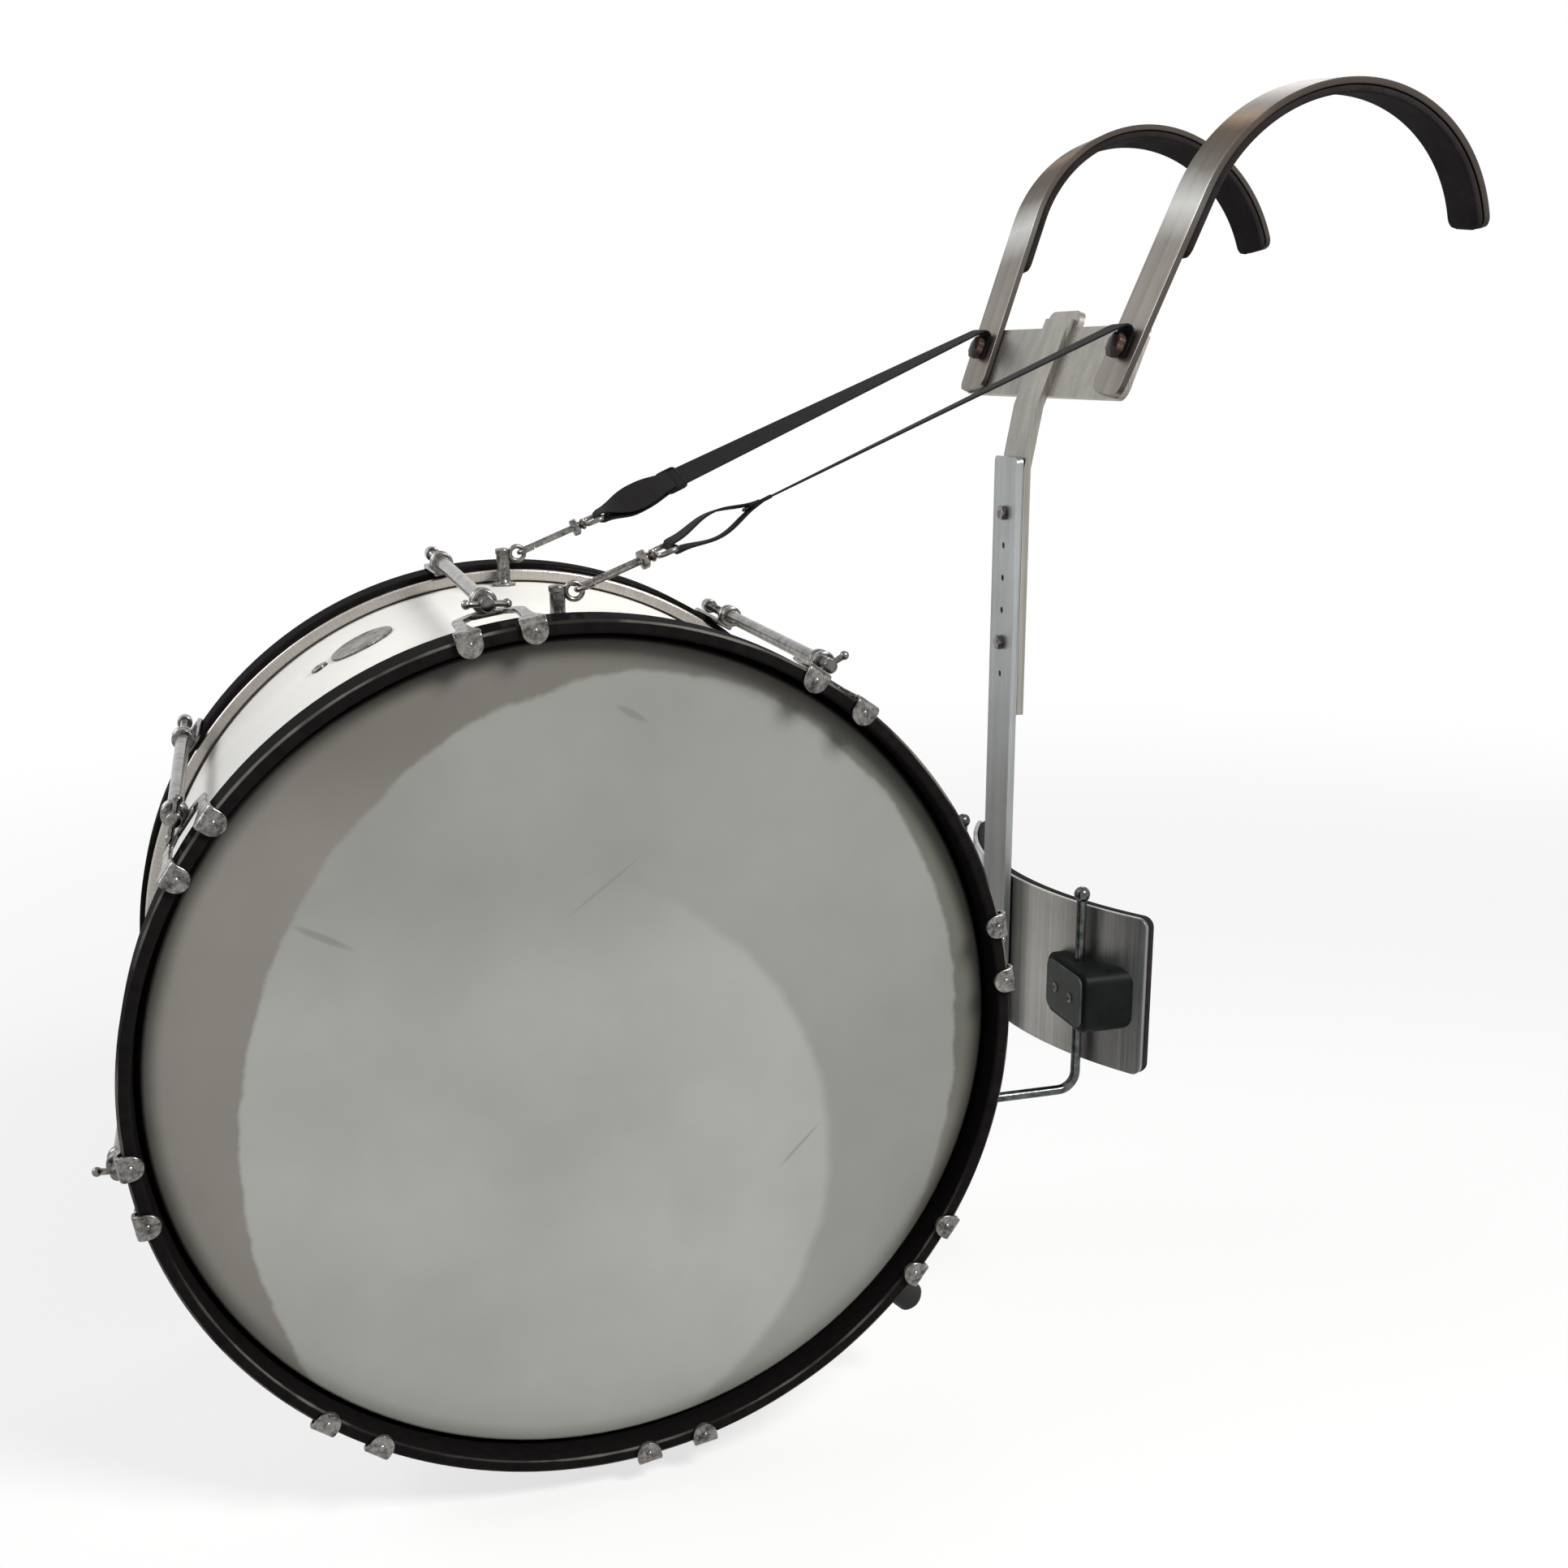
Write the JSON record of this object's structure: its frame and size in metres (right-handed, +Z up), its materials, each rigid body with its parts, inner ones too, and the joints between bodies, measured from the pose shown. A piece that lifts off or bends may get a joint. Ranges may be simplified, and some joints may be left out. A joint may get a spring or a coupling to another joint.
{
  "type": "marching bass drum with carrier",
  "caption": "Double-headed marching bass drum on a shoulder carrier with foam-lined arms, an adjustable spine, a belly plate, hanging straps and support rods.",
  "frame": {"origin": "midway between the two shoulder arms, level with the underside of their foam at the top of the arch, where the wearer's shoulders hold the carrier", "axes": "+Z up; +X from the drum towards the wearer and the backs of the shoulder arms; +Y along the drum's axis, from the head with the T-handles to the far head"},
  "size_m": [1.055, 0.4079, 1.0349],
  "materials": {
    "wrapped_shell": "thin ply shell under a glossy white wrap",
    "head_film": "coated polyester film, satin, a little see-through",
    "black_hoop": "maple ply hoop in glossy black lacquer",
    "hoop_channel": "bright aluminium channel",
    "chrome": "polished chrome plate",
    "rod_tube": "polished aluminium tube and thread",
    "brushed_aluminium": "brushed along its length, with light scratches",
    "foam": "closed-cell foam, dark, matt",
    "webbing": "woven black webbing",
    "rubber": "moulded black rubber",
    "black_block": "moulded black nylon with a grey face plate",
    "knob": "dark brown moulded knob"
  },
  "bodies": {
    "root": {"chest_frame": "brushed_aluminium", "near_arm": "brushed_aluminium", "far_arm": "brushed_aluminium", "near_arm_pad": "foam", "far_arm_pad": "foam"},
    "drum": {"shell": "wrapped_shell", "vent_grommet": "chrome", "badge": "chrome", "near_head": "head_film", "near_flesh_hoop": "hoop_channel", "near_hoop": "black_hoop", "far_head": "head_film", "far_flesh_hoop": "hoop_channel", "far_hoop": "black_hoop", "claw_yoke_1": "chrome", "claw_yoke_2": "chrome", "claw_yoke_3": "chrome", "claw_yoke_4": "chrome", "claw_yoke_5": "chrome", "claw_yoke_6": "chrome", "claw_yoke_7": "chrome", "claw_yoke_8": "chrome", "far_claw_1": "chrome", "far_claw_2": "chrome", "far_claw_3": "chrome", "far_claw_4": "chrome", "far_claw_5": "chrome", "far_claw_6": "chrome", "far_claw_7": "chrome", "far_claw_8": "chrome", "rubber_foot": "rubber", "near_strap_post": "chrome", "far_strap_post": "chrome", "near_snap_hook": "chrome", "far_snap_hook": "chrome", "near_strap": "webbing", "far_strap": "webbing", "near_rod_receiver": "chrome", "far_rod_receiver": "chrome", "near_j_rod": "chrome", "far_j_rod": "chrome"},
    "lower_carrier": {"lower_bar": "brushed_aluminium", "adjuster_bolt_1": "chrome", "adjuster_bolt_2": "chrome", "belly_plate": "brushed_aluminium", "belly_pad": "foam", "near_clamp_block": "black_block", "far_clamp_block": "black_block"},
    "t_rod_1": {"t_rod_1": "rod_tube"},
    "t_rod_2": {"t_rod_2": "rod_tube"},
    "t_rod_3": {"t_rod_3": "rod_tube"},
    "t_rod_4": {"t_rod_4": "rod_tube"},
    "t_rod_5": {"t_rod_5": "rod_tube"},
    "t_rod_6": {"t_rod_6": "rod_tube"},
    "t_rod_7": {"t_rod_7": "rod_tube"},
    "t_rod_8": {"t_rod_8": "rod_tube"},
    "near_hook_gate": {"near_hook_gate": "chrome"},
    "far_hook_gate": {"far_hook_gate": "chrome"},
    "near_strap_knob": {"near_strap_knob": "knob"},
    "far_strap_knob": {"far_strap_knob": "knob"}
  },
  "joints": [
    {"name": "spine_height", "type": "slide", "parent": "root", "child": "drum", "axis": [0, 0, 1], "range_m": [-0.027, 0], "deforming": ["near_strap", "far_strap"]},
    {"name": "rod_height", "type": "slide", "parent": "drum", "child": "lower_carrier", "axis": [0, 0, 1], "range_m": [-0.02, 0.024]},
    {"name": "t_rod_1_turn", "type": "hinge", "parent": "drum", "child": "t_rod_1", "pos_m": [-0.26003, 0, -0.62022], "axis": [0, 1, 0], "continuous": true},
    {"name": "t_rod_2_turn", "type": "hinge", "parent": "drum", "child": "t_rod_2", "pos_m": [-0.39615, 0, -0.40656], "axis": [0, 1, 0], "continuous": true},
    {"name": "t_rod_3_turn", "type": "hinge", "parent": "drum", "child": "t_rod_3", "pos_m": [-0.64348, 0, -0.35173], "axis": [0, 1, 0], "continuous": true},
    {"name": "t_rod_4_turn", "type": "hinge", "parent": "drum", "child": "t_rod_4", "pos_m": [-0.85714, 0, -0.48785], "axis": [0, 1, 0], "continuous": true},
    {"name": "t_rod_5_turn", "type": "hinge", "parent": "drum", "child": "t_rod_5", "pos_m": [-0.91197, 0, -0.73518], "axis": [0, 1, 0], "continuous": true},
    {"name": "t_rod_6_turn", "type": "hinge", "parent": "drum", "child": "t_rod_6", "pos_m": [-0.77585, 0, -0.94884], "axis": [0, 1, 0], "continuous": true},
    {"name": "t_rod_7_turn", "type": "hinge", "parent": "drum", "child": "t_rod_7", "pos_m": [-0.52852, 0, -1.00367], "axis": [0, 1, 0], "continuous": true},
    {"name": "t_rod_8_turn", "type": "hinge", "parent": "drum", "child": "t_rod_8", "pos_m": [-0.31486, 0, -0.86755], "axis": [0, 1, 0], "continuous": true},
    {"name": "near_gate_swing", "type": "hinge", "parent": "drum", "child": "near_hook_gate", "pos_m": [-0.53334, -0.1385, -0.32766], "axis": [0.3778, 0, -0.9259], "range_deg": [0, 14], "stiffness_Nm_per_rad": 0.05, "springref_deg": -5.73},
    {"name": "far_gate_swing", "type": "hinge", "parent": "drum", "child": "far_hook_gate", "pos_m": [-0.53334, 0.1255, -0.32766], "axis": [0.3778, 0, -0.9259], "range_deg": [0, 14], "stiffness_Nm_per_rad": 0.05, "springref_deg": -5.73},
    {"name": "near_knob_turn", "type": "hinge", "parent": "root", "child": "near_strap_knob", "pos_m": [-0.16417, -0.132, -0.17861], "axis": [-0.9336, 0, 0.3584], "continuous": true},
    {"name": "far_knob_turn", "type": "hinge", "parent": "root", "child": "far_strap_knob", "pos_m": [-0.16417, 0.132, -0.17861], "axis": [-0.9336, 0, 0.3584], "continuous": true}
  ]
}
